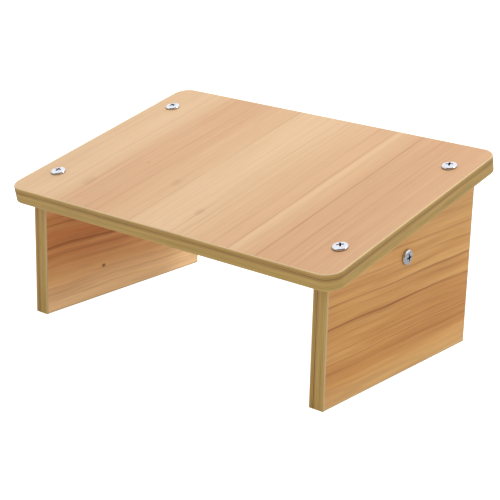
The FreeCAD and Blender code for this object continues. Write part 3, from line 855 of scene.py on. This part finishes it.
# A face is in the recess if it lies a hair below the crown, above the seat and near the axis.
HAIR, ABOVE_SEAT, RECESS_REACH = 0.00005, 0.0001, 0.004
UNDER_LEVEL, UNDER_START = FOOT, 0.005
at = pn("ShaderNodeSeparateXYZ", {0: pn("InputPosition")[0]})
radius_squared = maths("ADD", maths("MULTIPLY", at["X"], at["X"]),
                       maths("MULTIPLY", at["Y"], at["Y"]))
crown_there = maths("ADD", crown_base, maths(
    "SQRT", maths("SUBTRACT", crown_radius ** 2, radius_squared)))
below_crown = maths("LESS_THAN", at["Z"], maths("SUBTRACT", crown_there, HAIR))
over_seat = maths("GREATER_THAN", at["Z"], ABOVE_SEAT)
near_axis = maths("LESS_THAN", radius_squared, RECESS_REACH ** 2)
in_recess = maths("MULTIPLY", below_crown, maths("MULTIPLY", over_seat, near_axis))
# Faces low on the head's foot, away from the shank, get a painted shadow where the head meets the
# board.
under_head = maths("MULTIPLY", maths("LESS_THAN", at["Z"], UNDER_LEVEL),
                   maths("GREATER_THAN", radius_squared, UNDER_START ** 2))
marked = pn("StoreNamedAttribute",
            {"Geometry": cut_head.outputs[0], "Name": "dull",
             "Value": maths("MAXIMUM", in_recess, under_head)},
            data_type="FLOAT", domain="FACE")[0]
pattern_tree.links.new(marked, out.inputs[0])
thread_start = -SCREW_LENGTH + TIP + RIDGE
pattern_mesh = run_tree("screw_pattern", blank, pattern_tree, Cutter=cutter,
                        Thread_Start=thread_start,
                        Thread_Length=-thread_start - PLAIN_SHANK - RIDGE / 2)
bpy.data.objects.remove(cutter)
bpy.data.meshes.remove(cutter_mesh)
bm = bmesh.new()
bm.from_mesh(pattern_mesh)
print("pattern:", len(bm.faces), "faces, closed", all(e.is_manifold for e in bm.edges))
bm.free()

# %% [markdown]
# Chrome plate is a plain bright metal. What makes it look real is slight: a soft haze in the
# tone, uneven polish, and a bump so faint that it only bends reflections. The marked faces are
# rougher, for duller plating where the polishing wheel doesn't reach, and painted near black:
# painted shade in the recess and a painted shadow under the rim of the head.

# %% Chrome plate
chrome, tree, shader = new_material("chrome_plate")
coords = add(tree, "ShaderNodeTexCoord").outputs["Object"]
shader.inputs["Metallic"].default_value = 1.0
haze = add(tree, "ShaderNodeTexNoise", {"Vector": coords, "Scale": 500.0, "Detail": 4.0})
plate = blend_colours(tree, ease(tree, haze.outputs["Fac"], 0.35, 0.7), srgb(228, 230, 234),
                      srgb(206, 209, 216))
dull = add(tree, "ShaderNodeAttribute", attribute_name="dull").outputs["Fac"]
# Painted shade in the recess and a painted shadow under the rim: the marked faces turn near
# black.
plate = blend_colours(tree, dull, plate, srgb(48, 46, 44))
polish = place(tree, uneven_sheen, Position=coords, Patch_Scale=350.0, Smooth=0.08,
               Rough=0.16)[0]
join_up(tree, shader, plate, work(tree, "MULTIPLY_ADD", dull, 0.4, polish),
        haze.outputs["Fac"], 0.08)
print("finished", chrome.name)

# %% [markdown]
# The six screws are the same pattern on six points. Each point carries the direction its head
# faces and how far it was turned when it went tight, for no two crosses stop at the same
# angle. Four stand on the foot board; two go sideways into the ends of the rail.

# %% Tree: screws on points
screw_tree, given, out = new_group(
    "wood_screws", "GeometryNodeTree",
    [("Geometry", "NodeSocketGeometry", None), ("Pattern", "NodeSocketObject", None),
     ("Finish", "NodeSocketMaterial", None)],
    [("Geometry", "NodeSocketGeometry")])
sn = tools(screw_tree)[0]
facing = sn("InputNamedAttribute", {"Name": "facing"},
            data_type="FLOAT_VECTOR")["Attribute"]
turn = sn("InputNamedAttribute", {"Name": "turn"}, data_type="FLOAT")["Attribute"]
turned = sn("FunctionNodeAxisAngleToRotation", {"Axis": (0, 0, 1), "Angle": turn})[0]
aimed = sn("FunctionNodeAlignRotationToVector", {"Rotation": turned, "Vector": facing},
           axis="Z")[0]
one = sn("ObjectInfo", {"Object": given["Pattern"]})["Geometry"]
many = sn("InstanceOnPoints", {"Points": given["Geometry"], "Instance": one,
                               "Rotation": aimed})[0]
many = sn("RealizeInstances", {"Geometry": many})[0]
many = sn("SetMaterial", {"Geometry": many, "Material": given["Finish"]})[0]
screw_tree.links.new(many, out.inputs[0])
print("tree", screw_tree.name)

# %% The six screws
SCREW_INSET = 0.0465
face_up = BOARD.to_3x3() @ Vector((0, 0, 1))
turns = {"top_screw_front_left": 12, "top_screw_front_right": 38, "top_screw_back_left": 64,
         "top_screw_back_right": 25, "rail_screw_left": 50, "rail_screw_right": 8}
seats, facings, angles = [], [], []
for node, degrees in turns.items():
    low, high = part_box(node)
    middle = (low + high) / 2
    if node.startswith("rail"):
        out_x = 1 if node.endswith("right") else -1
        face_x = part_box(node.replace("rail_screw_", "") + "_panel_outer_laminate")
        seats.append(((face_x[1] if out_x > 0 else face_x[0]).x, middle.y, (low.z + high.z) / 2))
        facings.append((out_x, 0, 0))
    else:
        along_board = SCREW_INSET if "front" in node else TOP_DEPTH - SCREW_INSET
        seats.append(BOARD @ Vector((middle.x, along_board, BOARD_THICK)))
        facings.append(tuple(face_up))
    angles.append(math.radians(degrees))
points = bpy.data.meshes.new("screw_points")
points.from_pydata(seats, [], [])
points.attributes.new("facing", "FLOAT_VECTOR", "POINT")
points.attributes.new("turn", "FLOAT", "POINT")
for i, (way, angle) in enumerate(zip(facings, angles)):
    points.attributes["facing"].data[i].vector = way
    points.attributes["turn"].data[i].value = angle
print("screw seats:", [[round(v * 1000, 1) for v in s] for s in seats])
pattern = in_scene("screw_pattern", pattern_mesh)
screws_mesh = run_tree("chrome_screws", points, screw_tree, Pattern=pattern, Finish=chrome)
bpy.data.objects.remove(pattern)
bpy.data.meshes.remove(pattern_mesh)
new_piece("chrome_screws", soft_shading(screws_mesh, 32), "screw", *turns)

# %% [markdown]
# ## Studio
# A white floor under soft light, as in a catalogue. The floor glows, so that it comes out plain
# white with no hard shadow. How much depends on the ray: most for the view, less for the light
# it sends up, and none for mirrors, so that chrome doesn't reflect a lamp. The tent is white
# behind the object and a little dimmer as light. Mirrors alone see it bright with a dark
# opening at the front right, which draws the dark crescents on the chrome.

# %% Floor
floor_mesh = bpy.data.meshes.new("studio_floor")
FLOOR_HALF = 30.0
floor_mesh.from_pydata([(x * FLOOR_HALF, y * FLOOR_HALF, 0) for x, y in
                        ((-1, -1), (1, -1), (1, 1), (-1, 1))], [], [(0, 1, 2, 3)])
floor = in_scene("studio_floor", floor_mesh)
floor_white, tree, shader = new_material("floor_white")
shader.inputs["Base Color"].default_value = (0.4, 0.4, 0.4, 1)
shader.inputs["Roughness"].default_value = 0.9
shader.inputs["Emission Color"].default_value = (1, 1, 1, 1)
ray = add(tree, "ShaderNodeLightPath").outputs
glow = work(tree, "MULTIPLY_ADD", ray["Is Camera Ray"], 0.6,
            work(tree, "MULTIPLY_ADD", ray["Is Glossy Ray"], -0.5, 0.5))
tree.links.new(glow, shader.inputs["Emission Strength"])
floor_mesh.materials.append(floor_white)
print("floor", 2 * FLOOR_HALF, "m wide")

# %% The tent
tent = bpy.data.worlds.new("light_tent")
bpy.context.scene.world = tent
tent.use_nodes = True
tree = tent.node_tree
tree.nodes.clear()
direction = add(tree, "ShaderNodeTexCoord").outputs["Generated"]
OPENING = Vector((0.52, -0.72, 0.42)).normalized()
OPENING_RIM, OPENING_HEART = 0.50, 0.66
TENT_LIGHT, TENT_MIRRORED = (0.72, 0.73, 0.74, 1), (1.15, 1.16, 1.20, 1)
towards = add(tree, "ShaderNodeVectorMath", {0: direction, 1: OPENING},
              operation="DOT_PRODUCT").outputs["Value"]
dark_side = ease(tree, towards, OPENING_RIM, OPENING_HEART)
mirrored = blend_colours(tree, dark_side, TENT_MIRRORED, (0.02, 0.02, 0.04, 1))
ray = add(tree, "ShaderNodeLightPath").outputs
tent_colour = blend_colours(tree, ray["Is Glossy Ray"], TENT_LIGHT, mirrored)
tent_colour = blend_colours(tree, ray["Is Camera Ray"], tent_colour, (1.0, 1.0, 1.0, 1))
backdrop = add(tree, "ShaderNodeBackground", {"Color": tent_colour, "Strength": 1.0})
add(tree, "ShaderNodeOutputWorld", {"Surface": backdrop.outputs[0]})
print("tent open towards", [round(v, 2) for v in OPENING])


# %% The key light
KEY_PLACE, KEY_AIM = Vector((0.45, 0.8, 2.3)), Vector((0, 0, 0.1))
key_data = bpy.data.lights.new("key_from_back_right", "AREA")
key_data.shape, key_data.size, key_data.energy = "DISK", 0.5, 30
key = in_scene("key_from_back_right", key_data)
key.location = KEY_PLACE
key.rotation_mode = "QUATERNION"
key.rotation_quaternion = (KEY_AIM - KEY_PLACE).to_track_quat("-Z", "Y")
key.visible_camera = False
print(key.name, key_data.energy, "W")

# %% [markdown]
# The camera stands in front and to the right, a little above the board, with a long lens. It
# leans by a degree, as a camera held or set by hand does.

# %% Camera
AZIMUTH, ELEVATION, LEAN = math.radians(39.4), math.radians(18.2), math.radians(1.39)
AIM, DISTANCE, LENS = Vector((0.0057, -0.0015, 0.0817)), 1.4345, 105.66
back = Vector((math.sin(AZIMUTH) * math.cos(ELEVATION), -math.cos(AZIMUTH) * math.cos(ELEVATION),
               math.sin(ELEVATION)))
level_right = Vector((math.cos(AZIMUTH), math.sin(AZIMUTH), 0))
level_up = back.cross(level_right)
right = math.cos(LEAN) * level_right + math.sin(LEAN) * level_up
up = back.cross(right)
camera_data = bpy.data.cameras.new("camera")
camera_data.lens, camera_data.sensor_width = LENS, 36.0
camera = in_scene("camera", camera_data)
pose = Matrix((right, up, back)).transposed().to_4x4()
pose.translation = AIM + DISTANCE * back
camera.matrix_world = pose
bpy.context.scene.camera = camera
bpy.context.scene.view_settings.view_transform = "Standard"
print("camera at", [round(v, 3) for v in camera.location])
